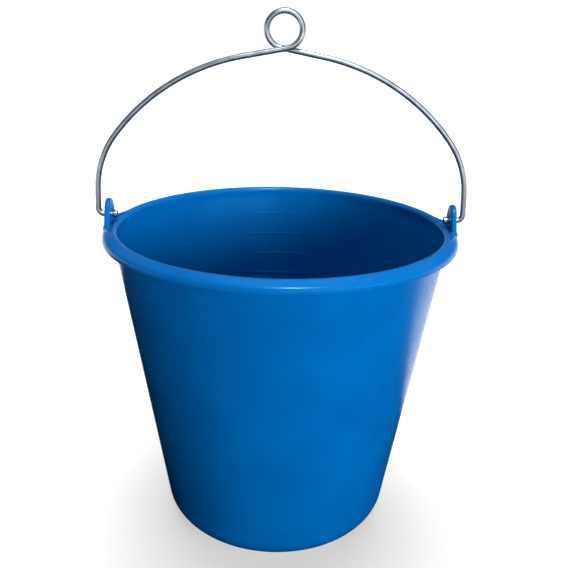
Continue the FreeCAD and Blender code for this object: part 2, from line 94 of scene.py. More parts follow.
def gridFaces(rows, columns, closeRows, closeColumns, start=0):
    # quads between neighbouring points of a rows x columns grid
    down = np.arange(rows if closeRows else rows - 1)
    across = np.arange(columns if closeColumns else columns - 1)
    row, column = np.meshgrid(down, across, indexing="ij")
    nextRow, nextColumn = (row + 1) % rows, (column + 1) % columns
    corners = [row * columns + column, row * columns + nextColumn,
               nextRow * columns + nextColumn, nextRow * columns + column]
    return np.stack([c.ravel() for c in corners], 1) + start


def fanFaces(ring, centre):
    # triangles from a ring of points to one centre point
    return np.stack([ring, np.roll(ring, -1), np.full(len(ring), centre)], 1)


def signedVolume(points, faces):
    # six times the volume that the faces enclose, negative where they look inwards
    a, b, c = points[faces[:, 0]], points[faces[:, 1]], points[faces[:, 2]]
    volume = np.einsum("ij,ij->i", a, np.cross(b, c)).sum()
    if faces.shape[1] == 4:
        d = points[faces[:, 3]]
        volume += np.einsum("ij,ij->i", a, np.cross(c, d)).sum()
    return volume


def addMesh(name, parts, material):
    # one object from closed parts; each part is its points in mm and a list of face arrays, which
    # are turned over if they look inwards
    points, polygons, start = [], [], 0
    for partPoints, faceArrays in parts:
        volume = sum(signedVolume(partPoints, faces) for faces in faceArrays)
        for faces in faceArrays:
            polygons += ((faces if volume > 0 else faces[:, ::-1]) + start).tolist()
        points.append(partPoints)
        start += len(partPoints)
    mesh = bpy.data.meshes.new(name)
    mesh.from_pydata((np.concatenate(points) * mm).tolist(), [], polygons)
    mesh.polygons.foreach_set("use_smooth", np.ones(len(polygons), bool))
    mesh.materials.append(material)
    mesh.update()
    piece = bpy.data.objects.new(name, mesh)
    bpy.context.scene.collection.objects.link(piece)
    return piece


def fromHex(text):
    # sRGB hex to linear colour
    values = np.array([int(text[i:i + 2], 16) for i in (0, 2, 4)]) / 255
    linear = np.where(values <= 0.04045, values / 12.92, ((values + 0.055) / 1.055) ** 2.4)
    return (*linear.tolist(), 1.0)


def newMaterial(name):
    material = bpy.data.materials.new(name)
    material.use_nodes = True
    tree = material.node_tree
    return material, tree, tree.nodes["Principled BSDF"]


def addNode(tree, kind, settings=None, inputs=None):
    # settings are the node's properties; an input is a value or an output socket to link
    node = tree.nodes.new(kind)
    for key, value in (settings or {}).items():
        setattr(node, key, value)
    for key, value in (inputs or {}).items():
        if isinstance(value, bpy.types.NodeSocket):
            tree.links.new(value, node.inputs[key])
        else:
            node.inputs[key].default_value = value
    return node


moulding = {
    "blue": "005a9f",
    "deepBlue": "005497",
    "mottleSize": 60.0,
    "rubSize": 35.0,
    "peelSize": 5.0,
    "peelDepth": 0.012,
    "roughness": (0.22, 0.31),
    "ior": 1.49,
    "specular": 0.25,
    "glossTint": "70ccff",
}


def mouldedPolypropylene():
    # Injection moulded polypropylene with satin gloss: even pigment with faint flow mottling, a
    # very shallow ripple from the mould and a few duller rubbed places.
    material, tree, shader = newMaterial("moulded_polypropylene")
    place = addNode(tree, "ShaderNodeTexCoord").outputs["Object"]
    mottle = addNode(tree, "ShaderNodeTexNoise", None, {
        "Vector": place, "Scale": 1000 / moulding["mottleSize"], "Detail": 3.0, "Roughness": 0.55})
    spread = addNode(tree, "ShaderNodeMapRange", None, {
        "Value": mottle.outputs["Fac"], "From Min": 0.35, "From Max": 0.65})
    pigment = addNode(tree, "ShaderNodeMix", {"data_type": "RGBA"}, {
        0: spread.outputs["Result"], 6: fromHex(moulding["blue"]), 7: fromHex(moulding["deepBlue"])})
    tree.links.new(pigment.outputs[2], shader.inputs["Base Color"])
    rubbed = addNode(tree, "ShaderNodeTexNoise", None, {
        "Vector": place, "Scale": 1000 / moulding["rubSize"], "Detail": 6.0, "Roughness": 0.7,
        "Distortion": 0.6})
    dull = addNode(tree, "ShaderNodeMapRange", None, {
        "Value": rubbed.outputs["Fac"], "From Min": 0.3, "From Max": 0.75,
        "To Min": moulding["roughness"][0], "To Max": moulding["roughness"][1]})
    tree.links.new(dull.outputs["Result"], shader.inputs["Roughness"])
    peel = addNode(tree, "ShaderNodeTexNoise", None, {
        "Vector": place, "Scale": 1000 / moulding["peelSize"], "Detail": 2.0})
    relief = addNode(tree, "ShaderNodeBump", None, {
        "Height": peel.outputs["Fac"], "Strength": 1.0, "Distance": moulding["peelDepth"] * mm})
    tree.links.new(relief.outputs["Normal"], shader.inputs["Normal"])
    shader.inputs["IOR"].default_value = moulding["ior"]
    shader.inputs["Specular IOR Level"].default_value = moulding["specular"]
    shader.inputs["Specular Tint"].default_value = fromHex(moulding["glossTint"])
    return material


wire = {
    "zinc": "a9b1b7",
    "dullZinc": "89939a",
    "patchSize": 9.0,
    "streakWidth": 0.9,
    "streakLength": 60.0,
    "roughness": (0.27, 0.42),
    "streakDepth": 0.02,
}


def platedWire():
    # Drawn steel wire with bright zinc plate: a blue-grey metal whose reflections are broken into
    # streaks along the wire by the drawing die.
    material, tree, shader = newMaterial("zinc_plated_drawn_steel")
    straight = addNode(tree, "ShaderNodeAttribute", {"attribute_name": "straightened"})
    stretched = addNode(tree, "ShaderNodeMapping", None, {
        "Vector": straight.outputs["Vector"],
        "Scale": (1 / wire["streakWidth"], 1 / wire["streakWidth"], 1 / wire["streakLength"])})
    streaks = addNode(tree, "ShaderNodeTexNoise", None, {
        "Vector": stretched.outputs["Vector"], "Scale": 1.0, "Detail": 4.0, "Roughness": 0.6})
    patches = addNode(tree, "ShaderNodeTexNoise", None, {
        "Vector": straight.outputs["Vector"], "Scale": 1 / wire["patchSize"], "Detail": 3.0})
    shade = addNode(tree, "ShaderNodeMapRange", None, {
        "Value": patches.outputs["Fac"], "From Min": 0.35, "From Max": 0.7})
    plate = addNode(tree, "ShaderNodeMix", {"data_type": "RGBA"}, {
        0: shade.outputs["Result"], 6: fromHex(wire["zinc"]), 7: fromHex(wire["dullZinc"])})
    tree.links.new(plate.outputs[2], shader.inputs["Base Color"])
    dull = addNode(tree, "ShaderNodeMapRange", None, {
        "Value": streaks.outputs["Fac"], "From Min": 0.3, "From Max": 0.7,
        "To Min": wire["roughness"][0], "To Max": wire["roughness"][1]})
    tree.links.new(dull.outputs["Result"], shader.inputs["Roughness"])
    relief = addNode(tree, "ShaderNodeBump", None, {
        "Height": streaks.outputs["Fac"], "Strength": 1.0, "Distance": wire["streakDepth"] * mm})
    tree.links.new(relief.outputs["Normal"], shader.inputs["Normal"])
    shader.inputs["Metallic"].default_value = 1.0
    return material


# the shell: rim, wall, foot and base, the mould's rings and the spacing of the mesh's rows and
# columns, with columns closer together within earSpan of the ears
bucket = {
    "rimWidth": 13.0,
    "rimSkin": 5.0,
    "topSlope": 28.0,
    "beadCorner": 4.0,
    "outerCorner": 5.0,
    "skirtDrop": 9.8,
    "skirtThickness": 2.6,
    "hemCorner": 0.8,
    "hemInner": 0.4,
    "wallInset": 9.25,
    "wallDraft": 8.95,
    "wallThickness": 3.0,
    "footRadius": 27.0,
    "ringWidth": 5.0,
    "ringCorner": 0.5,
    "baseRecess": 3.0,
    "recessCorner": 0.3,
    "hubRadius": 2.0,
    "ringPitch": 24.5,
    "ringDepth": 0.09,
    "wallRowPitch": 5.0,
    "earSpan": 27.0,
    "earStep": 0.54,
    "farStep": 2.52,
}

# the flat land that each ear stands on: its ridge, full up to one angle and gone at another, and
# the shallow pocket between the ridge and the rim's bead
land = {
    "drop": 0.8,
    "inset": 0.2,
    "full": 7.2,
    "rootInset": 9.0,
    "reach": 25.5,
    "crest": 1.0,
    "pocketDepth": 1.6,
    "pocketInner": 9.1,
    "pocketOuter": 5.6,
    "underFill": 4.0,
}

# graduation marks on the inside of the back wall
marks = {
    "count": 4,
    "drop": 29.0,
    "pitch": 22.0,
    "height": 2.0,
    "proud": 0.24,
    "halfAngle": 11.8,
    "fadeAngle": 1.2,
}


def landRidge(away):
    # Radius of the land's outer ridge at an angle from the ear: level with the rim's outside up
    # to the full angle, then a straight line in plan that runs in towards the bead.
    outer = rimRadius - land["inset"]
    root = rimRadius - land["rootInset"]
    full, reach = toRadians(land["full"], land["reach"])
    start = np.array([outer * math.cos(full), outer * math.sin(full)])
    end = np.array([root * math.cos(reach), root * math.sin(reach)])
    along = (end - start) / np.linalg.norm(end - start)
    normal = np.array([along[1], -along[0]])
    line = start @ normal / (normal[0] * np.cos(away) + normal[1] * np.sin(away))
    radius = np.where(away < full, outer, np.minimum(line, outer))
    return np.where(away > reach, beadEnd, np.maximum(radius, beadEnd))


def rimCurve(length):
    # The rim's top from its outside inwards, by the length along it: the outer corner's arc, then
    # the straight slope up to the bead.
    corner, slope = bucket["outerCorner"], math.radians(bucket["topSlope"])
    centreR, centreZ = rimRadius - corner, cornerHeight
    turn = np.minimum(length / corner, math.pi / 2 - slope)
    beyond = np.maximum(length - corner * (math.pi / 2 - slope), 0)
    r = centreR + corner * np.cos(turn) - beyond * math.cos(slope)
    z = centreZ + corner * np.sin(turn) + beyond * math.sin(slope)
    return r, z


def rimHeight(r):
    # the same curve as a height over a radius, and the bead's own arc beyond it
    corner, slope = bucket["outerCorner"], math.radians(bucket["topSlope"])
    centreR = rimRadius - corner
    reachR = centreR + corner * math.sin(slope)
    over = np.clip(r - centreR, -corner, corner)
    arc = cornerHeight + np.sqrt(np.maximum(corner ** 2 - over ** 2, 0))
    line = cornerHeight + corner * math.cos(slope) + (reachR - r) * math.tan(slope)
    bead = bucket["beadCorner"]
    crown = beadZ + np.sqrt(np.maximum(bead ** 2 - (r - beadR) ** 2, 0))
    return np.where(r > reachR, arc, np.where(r < beadEnd, crown, line))


# centres of the bead and the outer corner, and where the slope between them meets the bead
slopeTurn = math.radians(bucket["topSlope"])
beadR = rimRadius - bucket["rimWidth"] + bucket["beadCorner"]
beadZ = rimTop - bucket["beadCorner"]
beadEnd = beadR + bucket["beadCorner"] * math.sin(slopeTurn)
cornerRun = rimRadius - bucket["outerCorner"] - beadR
cornerDrop = bucket["outerCorner"] - bucket["beadCorner"]
# height of the outer corner's centre, so that the slope touches both the corner and the bead
cornerHeight = (beadZ - (cornerRun + cornerDrop * math.sin(slopeTurn)) * math.tan(slopeTurn)
                - cornerDrop * math.cos(slopeTurn))


draft = math.radians(bucket["wallDraft"])
lean = math.tan(draft)
wallTop = rimRadius - bucket["wallInset"]
skinZ = rimTop - bucket["rimSkin"]
skirtR = rimRadius - bucket["skirtThickness"]
floorZ = bucket["baseRecess"] + bucket["wallThickness"]
insideCorner = bucket["footRadius"] - bucket["wallThickness"]


def columnAngles():
    # round the bucket in degrees: close together beside the ears, wider between them
    span = bucket["earSpan"]
    nearEar = np.arange(-span, span, bucket["earStep"])
    between = np.arange(span, 180 - span, bucket["farStep"])
    return np.concatenate([nearEar, between, nearEar + 180, between + 180])


# angle of every column of the shell, and the radius of the land's ridge there
columnTurn = np.radians(columnAngles())
ridge = landRidge(np.abs((columnTurn + math.pi / 2) % math.pi - math.pi / 2))


def spun(profile, around=0.0):
    # rows of a profile carried round the axis: a radius and a height for every column, with an
    # offset of the radius around the bucket
    r, z = (values if values.ndim == 2 else values[:, None] for values in profile)
    shape = (len(z), len(columnTurn))
    return np.stack([np.broadcast_to(r, shape) + around, np.broadcast_to(z, shape)], 2)


def wallRipple(z, phase):
    # shallow rings left by the mould: a cosine of the height, its depth wandering round the wall
    wander = 0.55 + 0.45 * np.cos(2 * columnTurn + phase) * np.cos(3 * columnTurn - phase)
    ripple = np.cos(2 * math.pi * (z - phase * 3) / bucket["ringPitch"])
    return bucket["ringDepth"] * wander * np.maximum(ripple, 0) ** 4


def cornerCentre(corner, level):
    # radius of the centre of a rounded corner that joins a level to the wall's slope
    return wallTop - bucket["footRadius"] / math.cos(draft) - (skinZ - level - corner) * lean


def footRows():
    # recessed base from near the axis out, then the standing ring and the rounded foot
    foot, recess = bucket["footRadius"], bucket["baseRecess"]
    edge, lip = bucket["ringCorner"], bucket["recessCorner"]
    footR = cornerCentre(foot, 0)
    ringR = footR - bucket["ringWidth"]
    hub = (bucket["hubRadius"], recess)
    return [
        spun(lineRow(hub, (ringR - 2 * lip, recess), [0, 0.3, 0.6, 0.85, 1])),
        spun(arcRow(ringR - lip, recess - lip, lip, 90, 0, 4)),
        spun(arcRow(ringR + edge, edge, edge, 180, 270, 5)),
        spun(lineRow((ringR + edge, 0), (footR, 0), [0.06, 0.5, 0.94])),
        spun(arcRow(footR, foot, foot, -90, -bucket["wallDraft"], 20)),
    ]


def outerWallRows():
    # outer wall along its height; the mould's rings fade out at both ends
    foot = bucket["footRadius"]
    low = foot - foot * math.sin(draft)
    heights = np.arange(low + 1, skinZ - 3, bucket["wallRowPitch"])
    heights = np.concatenate([heights, [skinZ - 2.4, skinZ - 1.6]])
    z = heights[:, None] + 0 * columnTurn
    fade = smoothStep((heights - low - 10) / 20) * smoothStep((skinZ - 20 - heights) / 15)
    return [spun((wallTop - (skinZ - z) * lean, z), -wallRipple(z, 0.7) * fade[:, None])]


def channelRows():
    # root of the rim, the channel under it and the skirt's hem; towards the ears the channel is
    # filled out to the land's ridge
    inside = wallTop + 1.6
    split = np.clip(ridge, wallTop + 2.2, skirtR - 1.3)
    filled = smoothStep((ridge - inside) / 3) * land["underFill"]
    outside = filled * smoothStep((ridge - skirtR + 0.6) / 1.2)
    across = np.linspace(0, 1, 4)[:, None]
    innerR = inside + (split - 0.5 - inside) * across
    outerR = split + 0.5 + (skirtR - 0.6 - split - 0.5) * across
    bendZ = np.stack([skinZ - 0.3 - outside, skinZ - 0.6 - outside * 0.95])
    hem = rimTop - bucket["skirtDrop"]
    corner, inner = bucket["hemCorner"], bucket["hemInner"]
    return [
        spun(arcRow(wallTop + 1.0, skinZ - 1.2, 1.2, 170, 98, 4)),
        spun((innerR, skinZ - filled * smoothStep(across * 3))),
        spun((outerR, skinZ - outside + 0 * outerR)),
        spun((skirtR - 0.1 + 0 * bendZ, bendZ)),
        spun(arcRow(skirtR + inner, hem + inner, inner, 180, 270, 4)),
        spun(arcRow(rimRadius - corner, hem + corner, corner, 270, 360, 7)),
    ]


def rimTopRows():
    # the rim's top: from the outer corner up to the ridge, then the ridge's rounded crest, the
    # pocket and the bead
    corner = bucket["outerCorner"]
    arcLength = corner * (math.pi / 2 - slopeTurn)
    reachR = rimRadius - corner + corner * math.sin(slopeTurn)
    foot = ridge + 0.03  # the slope ends just outside the ridge
    ridgeAngle = np.arccos(np.clip((foot - rimRadius + corner) / corner, -1, 1))
    toRidge = np.where(foot > reachR, corner * ridgeAngle,
                       arcLength + (reachR - foot) / math.cos(slopeTurn))

    crest = land["crest"]
    across = np.array([1.0, 0.93, 0.8, 0.6, 0.35, 0.1])[:, None]
    r = np.concatenate([ridge - crest * (1 - across),
                        ridge - crest - np.array([0.15, 0.35])[:, None]])
    pocketEdge = rimRadius - land["pocketInner"]
    inward = np.linspace(0, 1, 15)[1:, None]
    r = np.concatenate([r, r[-1] + (pocketEdge - r[-1]) * inward])
    level = rimTop - land["drop"]
    fall = np.maximum(level - rimHeight(foot), 0)
    side = np.clip((r - ridge + crest) / crest, 0, 1)
    top = level - np.minimum(fall, crest) * (1 - np.sqrt(1 - side ** 2))
    pocketOut = np.minimum(ridge - crest * 0.8, rimRadius - land["pocketOuter"])
    pocket = (land["pocketDepth"] * smoothStep((ridge - beadEnd - 0.3) / 1.5)
              * smoothStep((pocketOut - r) / 0.7) * smoothStep((r - pocketEdge) / 1.4))
    crownTurn = math.degrees(math.acos((pocketEdge - beadR) / bucket["beadCorner"]))
    return [
        spun(rimCurve(np.linspace(0, 1, 18)[:, None] * toRidge)),
        spun((r, np.maximum(rimHeight(r), top) - pocket)),
        spun(arcRow(beadR, beadZ, bucket["beadCorner"], crownTurn + 7, 180, 13)),
    ]


def innerWallRows():
    # from the bead down the inner wall and its graduation marks, and in over the floor
    innerR = rimRadius - bucket["rimWidth"]
    innerTop = wallTop - bucket["wallThickness"] / math.cos(draft)
    meet = skinZ - (innerTop - innerR) / lean
    insideR = cornerCentre(insideCorner, floorZ)
    bottom = floorZ + insideCorner - insideCorner * math.sin(draft)

    # even rows, and closer ones over each mark in their place
    heights = np.arange(bottom + 1, meet - 1, bucket["wallRowPitch"])
    middles = (rimTop - marks["drop"] + marks["height"] / 2
               - marks["pitch"] * np.arange(marks["count"]))
    nearMark = np.array([-1.7, -1.25, -0.95, -0.65, -0.3, 0, 0.3, 0.65, 0.95, 1.25, 1.7])
    dense = (middles[:, None] + nearMark).ravel()
    clear = np.abs(heights[:, None] - middles).min(1) > 2.6
    heights = np.sort(np.concatenate([heights[clear], dense]))[::-1]
    z = heights[:, None] + 0 * columnTurn

    fromBack = np.degrees(np.abs(columnTurn - math.pi / 2))
    markRound = bump(fromBack, 0, marks["halfAngle"], marks["fadeAngle"])
    markRise = sum(bump(heights, middle, 0.45, 0.8) for middle in middles)
    rise = marks["proud"] * markRise[:, None] * markRound
    fade = smoothStep((heights - bottom - 10) / 20) * smoothStep((meet - 12 - heights) / 12)
    ripple = -wallRipple(z, 2.1) * fade[:, None]
    return [
        spun(lineRow((innerR, beadZ), (innerR, meet + 1), [0.15, 0.5, 0.85, 1])),
        spun((innerTop - (skinZ - z) * lean, z), ripple * (1 - np.minimum(1, rise * 2)) - rise),
        spun(arcRow(insideR, floorZ + insideCorner, insideCorner, -bucket["wallDraft"], -90, 18)),
        spun(lineRow((insideR, floorZ), (bucket["hubRadius"], floorZ), [0.03, 0.3, 0.6, 1])),
    ]


def shellPart():
    # The shell is one profile carried round the axis, from the middle of the base out, up the
    # wall, over the rim and down inside. The rows of the rim's top, the channel and the walls
    # also depend on the angle.
    grid = np.concatenate(footRows() + outerWallRows() + channelRows() + rimTopRows()
                          + innerWallRows())
    r, z = grid[..., 0], grid[..., 1]
    count, columns = r.shape
    points = np.stack([r * np.cos(columnTurn), r * np.sin(columnTurn), z], 2).reshape(-1, 3)
    points = np.concatenate([points, [[0, 0, bucket["baseRecess"]], [0, 0, floorZ]]])
    firstRing = np.arange(columns)
    lastRing = firstRing + (count - 1) * columns
    faces = [gridFaces(count, columns, False, True),
             fanFaces(firstRing[::-1], count * columns),
             fanFaces(lastRing, count * columns + 1)]
    print("shell", count, "rows x", columns, "columns")
    return points, faces


# the two ears, each a plate with a rounded edge and a bored hole, sunk a little into its land
ear = {
    "thickness": 5.0,
    "inset": 1.3,
    "foot": 31.0,
    "topRadius": 10.0,
    "edge": 1.6,
    "footEdge": 0.8,
    "holeRadius": 2.8,
    "holeEdge": 0.3,
    "sunk": 0.1,
}


def earOutline():
    # closed outline in the ear's own plane, (y, z): foot, sloping side, round top, sloping side
    level = rimTop - land["drop"]
    footZ = level - land["pocketDepth"] - ear["sunk"]
    half = ear["foot"] / 2
    radius = ear["topRadius"]
    centre = bucketHigh[2] - radius
    reach = math.hypot(half, centre - level)
    touch = math.pi / 2 - math.asin(radius / reach) - math.atan2(centre - level, half)
    side = np.array([radius * math.cos(touch), centre + radius * math.sin(touch)])
    corner = np.array([half, level])
    corner = corner + (corner - side) * (level - footZ) / (side[1] - level)
    foot = lineRow((-corner[0], footZ), corner, np.linspace(0, 1, 31)[:-1])
    rise = lineRow(corner, side, np.linspace(0, 1, 25)[:-1])
    top = arcRow(0, centre, radius, math.degrees(touch), 180 - math.degrees(touch), 37)[:, :-1]
    fall = lineRow((-side[0], side[1]), (-corner[0], footZ), np.linspace(0, 1, 25)[:-1])
    outline = np.concatenate([foot, rise, top, fall], 1).T
    atFoot = np.zeros(len(outline))
    atFoot[:31] = 1
    return outline, atFoot


def earPart(sign):
    # The ear is a closed band round its hole: from the hole's wall over one face, round the
    # outline and back over the other face. Faces are straight runs from the hole's edge to the
    # outline; the outline's edges are quarter rounds, turned outwards along the foot.
    outline, atFoot = earOutline()
    count = len(outline)
    before = outline - np.roll(outline, 1, 0)
    after = np.roll(outline, -1, 0) - outline
    before /= np.linalg.norm(before, axis=1)[:, None]
    after /= np.linalg.norm(after, axis=1)[:, None]
    leftBefore = np.stack([-before[:, 1], before[:, 0]], 1)
    leftAfter = np.stack([-after[:, 1], after[:, 0]], 1)
    inward = (leftBefore + leftAfter) / (1 + (leftBefore * leftAfter).sum(1))[:, None]
    middle = np.array([0, hingeZ])
    holeEdge, half = ear["holeEdge"], ear["thickness"] / 2
    edge = np.where(atFoot > 0, ear["footEdge"], ear["edge"])
    edge[[0, 30]] = (ear["footEdge"] + ear["edge"]) / 2
    hole = ear["holeRadius"]
    bend = 2 * atFoot - 1
    inset = outline + inward * edge[:, None]
    toHole = inset - middle
    toHole /= np.linalg.norm(toHole, axis=1)[:, None]

    # front half of the band, from the hole's edge over the face to the outline; the back half
    # is the same the other way round
    start = middle + toHole * (hole + holeEdge)
    front = [(middle + toHole * (hole + holeEdge * (1 - math.cos(a))),
              half - holeEdge * (1 - math.sin(a))) for a in np.radians([0, 30, 60, 90])]
    front += [(start + (inset - start) * share, half)
              for share in (0.06, 0.2, 0.36, 0.52, 0.68, 0.82, 0.93)]
    front += [(outline + inward * edge[:, None] * (1 - math.sin(a)),
               half + bend * edge * (1 - math.cos(a)))
              for a in np.radians([0, 15, 30, 45, 60, 75, 90])]
    bore = [(middle + toHole * hole, x * (half - holeEdge)) for x in (-0.6, 0, 0.6)]
    border = [(outline, x * (half + bend * edge)) for x in (0.85, 0.4, 0, -0.4, -0.85)]
    back = [(flat, -x) for flat, x in front[::-1]]
    rings = bore + front + border + back

    points = np.concatenate([np.column_stack([np.broadcast_to(x, count), flat])
                             for flat, x in rings])
    points[:, 0] += rimRadius - ear["inset"] - half
    points[:, :2] *= sign
    return points, [gridFaces(len(rings), count, True, True)]


# the wire: its bends, the arch and the hanging eye, and the upset head at each end
bail = {
    "wireRadius": 2.5,
    "legGap": 3.7,
    "legLean": 2.4,
    "bendRadius": 6.0,
    "shoulderRadius": 84.0,
    "archMargin": 20.8,
    "archDrop": 43.4,
    "eyeRadius": 15.0,
    "eyeStand": 3.6,
    "eyeGap": 0.3,
    "eyePitch": 5.0,
    "headInside": 148.9,
    "headRadius": 3.2,
    "headLength": 3.4,
    "headEdge": 0.6,
    "headDome": 0.15,
    "around": 28,
}


def turnAbout(axis, vectors, angle):
    # Rodrigues' formula: vectors turned about a unit axis by each angle
    angle = np.atleast_1d(angle)[:, None]
    vectors = np.atleast_2d(vectors)
    along = (vectors @ axis)[:, None] * axis
    return (vectors * np.cos(angle) + np.cross(axis, vectors) * np.sin(angle)
            + along * (1 - np.cos(angle)))


def leftArm():
    # Corners of the left arm's centreline, each with the points where the wire leaves and
    # reaches the straight runs on either side: (start, corner, end) for every bend.
    lean = math.radians(bail["legLean"])
    legX = rimRadius + bail["legGap"] + bail["wireRadius"]
    archRadius = legX + bail["archMargin"]
    archZ = hingeZ - bail["archDrop"]
    eyeRadius = bail["eyeRadius"]
    eyeZ = archZ + archRadius + bail["eyeStand"] + eyeRadius
    shoulder, bend = bail["shoulderRadius"], bail["bendRadius"]
    up = np.array([math.sin(lean), 0, math.cos(lean)])
    inward = np.array([math.cos(lean), 0, -math.sin(lean)])
    foot = np.array([-legX, 0, hingeZ])
    archCentre = np.array([0, 0, archZ])

    bendLength = bend * math.tan((math.pi / 2 - lean) / 2)
    offset = foot + inward * shoulder - archCentre
    along = offset @ up
    legLength = -along + math.sqrt(along ** 2 - offset @ offset + (archRadius - shoulder) ** 2)
    shoulderStart = foot + up * legLength
    outward = shoulderStart + inward * shoulder - archCentre
    outward /= np.linalg.norm(outward)
    archStart = archCentre + outward * archRadius
    archTangent = np.array([outward[2], 0, -outward[0]])
    rise = math.acos((archRadius + eyeRadius) / (eyeZ - archZ))
    archEnd = archCentre + np.array([-math.sin(rise), 0, math.cos(rise)]) * archRadius
    eyeStart = np.array([eyeRadius * math.sin(rise), 0, eyeZ - eyeRadius * math.cos(rise)])
    run = np.array([math.cos(rise), 0, math.sin(rise)])

    def cornerOf(start, first, end, second):
        across = np.cross(first, second)
        return start + first * (np.cross(end - start, second) @ across) / (across @ across)

    shoulderCorner = cornerOf(shoulderStart, up, archStart, archTangent)
    archCorner = cornerOf(archStart, archTangent, archEnd, run)

    # the arm turns about its leg so that it passes half a wire and half a gap to the front
    crossing = -math.asin((2 * bail["wireRadius"] + bail["eyeGap"]) / 2 / (legX * math.cos(lean)))

    def turned(point):
        return foot + turnAbout(up, point - foot, crossing)[0]

    run = turnAbout(up, run, crossing)[0]
    eyeStart = turned(eyeStart)
    eyeTop = np.array([0, 0, eyeZ + eyeRadius])
    pitch = math.radians(bail["eyePitch"])
    topRun = np.array([-math.cos(pitch), -math.sin(pitch), 0])
    # half of the eye is two arcs, met where their tangents have one length
    span = eyeTop - eyeStart
    square = 2 * (1 - run @ topRun)
    reach = span @ (run + topRun)
    tangent = (-reach + math.sqrt(reach ** 2 + square * span @ span)) / square
    firstCorner, secondCorner = eyeStart + run * tangent, eyeTop - topRun * tangent
    eyeSide = (firstCorner + secondCorner) / 2
    return [
        (foot + [bendLength, 0, 0], foot, foot + up * bendLength),
        (turned(shoulderStart), turned(shoulderCorner), turned(archStart)),
        (turned(archStart), turned(archCorner), turned(archEnd)),
        (eyeStart, firstCorner, eyeSide),
        (eyeSide, secondCorner, eyeTop),
    ]


def roundBend(start, corner, end, side, tangent):
    # the wire carried round one bend: its centres, and the side and tangent at each of them
    first, second = corner - start, end - corner
    cosine = first @ second / np.linalg.norm(first) / np.linalg.norm(second)
    angle = math.acos(np.clip(cosine, -1, 1))
    axis = np.cross(first, second)
    axis /= np.linalg.norm(axis)
    radius = np.linalg.norm(first) / math.tan(angle / 2)
    centre = start + np.cross(axis, tangent) * radius
    steps = max(8, int(np.degrees(angle) / 4), int(radius * angle / 3))
    turns = np.linspace(0, angle, steps + 1)[1:]
    return (centre + turnAbout(axis, start - centre, turns), turnAbout(axis, side, turns),
            turnAbout(axis, tangent, turns))


def wirePath():
    # Centreline of the whole wire, with a frame that never twists: along a straight run the
    # frame stays as it is, and along a bend it turns about the bend's own axis.
    left = leftArm()
    halfTurn = np.array([-1, -1, 1])
    right = [(end * halfTurn, corner * halfTurn, start * halfTurn)
             for start, corner, end in left[::-1]]
    head = np.array([-bail["headInside"], 0, hingeZ])
    place, side, tangent = head, np.array([0.0, 0, 1]), np.array([-1.0, 0, 0])
    # close rings over the upset end, then even ones out to the first bend
    headShares = headStations() / np.linalg.norm(left[0][0] - head)
    stubShares = np.concatenate([headShares, np.linspace(headShares[-1], 1, 8)[1:]])
    runs = []

    def straightRun(reach, shares):
        count = len(shares)
        runs.append((place + (reach - place) * shares[:, None],
                     np.tile(side, (count, 1)), np.tile(tangent, (count, 1))))

    for index, (start, corner, end) in enumerate(left + right):
        length = np.linalg.norm(start - place)
        if length > 0.01:
            even = np.linspace(0, 1, max(3, int(length / 4)))[1:]
            straightRun(start, even if index else stubShares)
        runs.append(roundBend(start, corner, end, side, tangent))
        place, side, tangent = (values[-1] for values in runs[-1])
    straightRun(head * halfTurn, 1 - stubShares[::-1][1:])
    return [np.concatenate(parts) for parts in zip(*runs)]


def headStations():
    # distances from the end of the wire at which the upset head needs a ring
    edge, length = bail["headEdge"], bail["headLength"]
    quarter = edge * (1 - np.cos(np.radians([0, 20, 40, 60, 75, 90])))
    beyond = length + np.array([0.1, 0.4, 0.9])
    return np.concatenate([[0], quarter[1:], length - quarter[::-1], beyond])


def headProfile(distance):
    # radius at a distance from the wire's end: a rounded block, then a short neck to the wire
    edge, length = bail["headEdge"], bail["headLength"]
    radius, wireRadius = bail["headRadius"], bail["wireRadius"]
    fromEdge = np.clip(np.minimum(distance, length - distance), 0, edge)
    block = radius - edge + np.sqrt(np.maximum(edge ** 2 - (edge - fromEdge) ** 2, 0))
    neck = wireRadius + (radius - edge - wireRadius) * (1 - smoothStep((distance - length) / 0.8))
    return np.where(distance <= length, block, neck)


def bailPart():
    # a circle of the profile's radius carried along the wire's centreline
    centres, sides, tangents = wirePath()
    steps = np.linalg.norm(np.diff(centres, axis=0), axis=1)
    length = np.concatenate([[0], np.cumsum(steps)])
    radius = headProfile(np.minimum(length, length[-1] - length))
    other = np.cross(tangents, sides)
    turn = np.linspace(0, 2 * math.pi, bail["around"], endpoint=False)
    rounds = (np.cos(turn)[None, :, None] * sides[:, None]
              + np.sin(turn)[None, :, None] * other[:, None])
    points = (centres[:, None] + radius[:, None, None] * rounds).reshape(-1, 3)
    around = bail["around"]
    rings = len(centres)
    dome = np.array([bail["headDome"], 0, 0])
    points = np.concatenate([points, [centres[0] + dome, centres[-1] - dome]])
    # the same points as if the wire were straight, for the streaks of its material
    straightened = np.stack([
        np.outer(radius, np.cos(turn)).ravel(), np.outer(radius, np.sin(turn)).ravel(),
        np.repeat(length, around)], 1)
    straightened = np.concatenate([straightened, [[0, 0, 0], [0, 0, length[-1]]]])
    first = np.arange(around)
    last = first + (rings - 1) * around
    faces = [gridFaces(rings, around, False, True),
             fanFaces(first[::-1], rings * around), fanFaces(last, rings * around + 1)]
    print("bail", rings, "rings, wire", round(length[-1]), "mm long")
    return points, faces, straightened


plastic = mouldedPolypropylene()
plated = platedWire()

bucketPiece = addMesh("bucket_moulding", [shellPart(), earPart(1), earPart(-1)], plastic)
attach(bucketPiece, "bucket")
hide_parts("bucket")

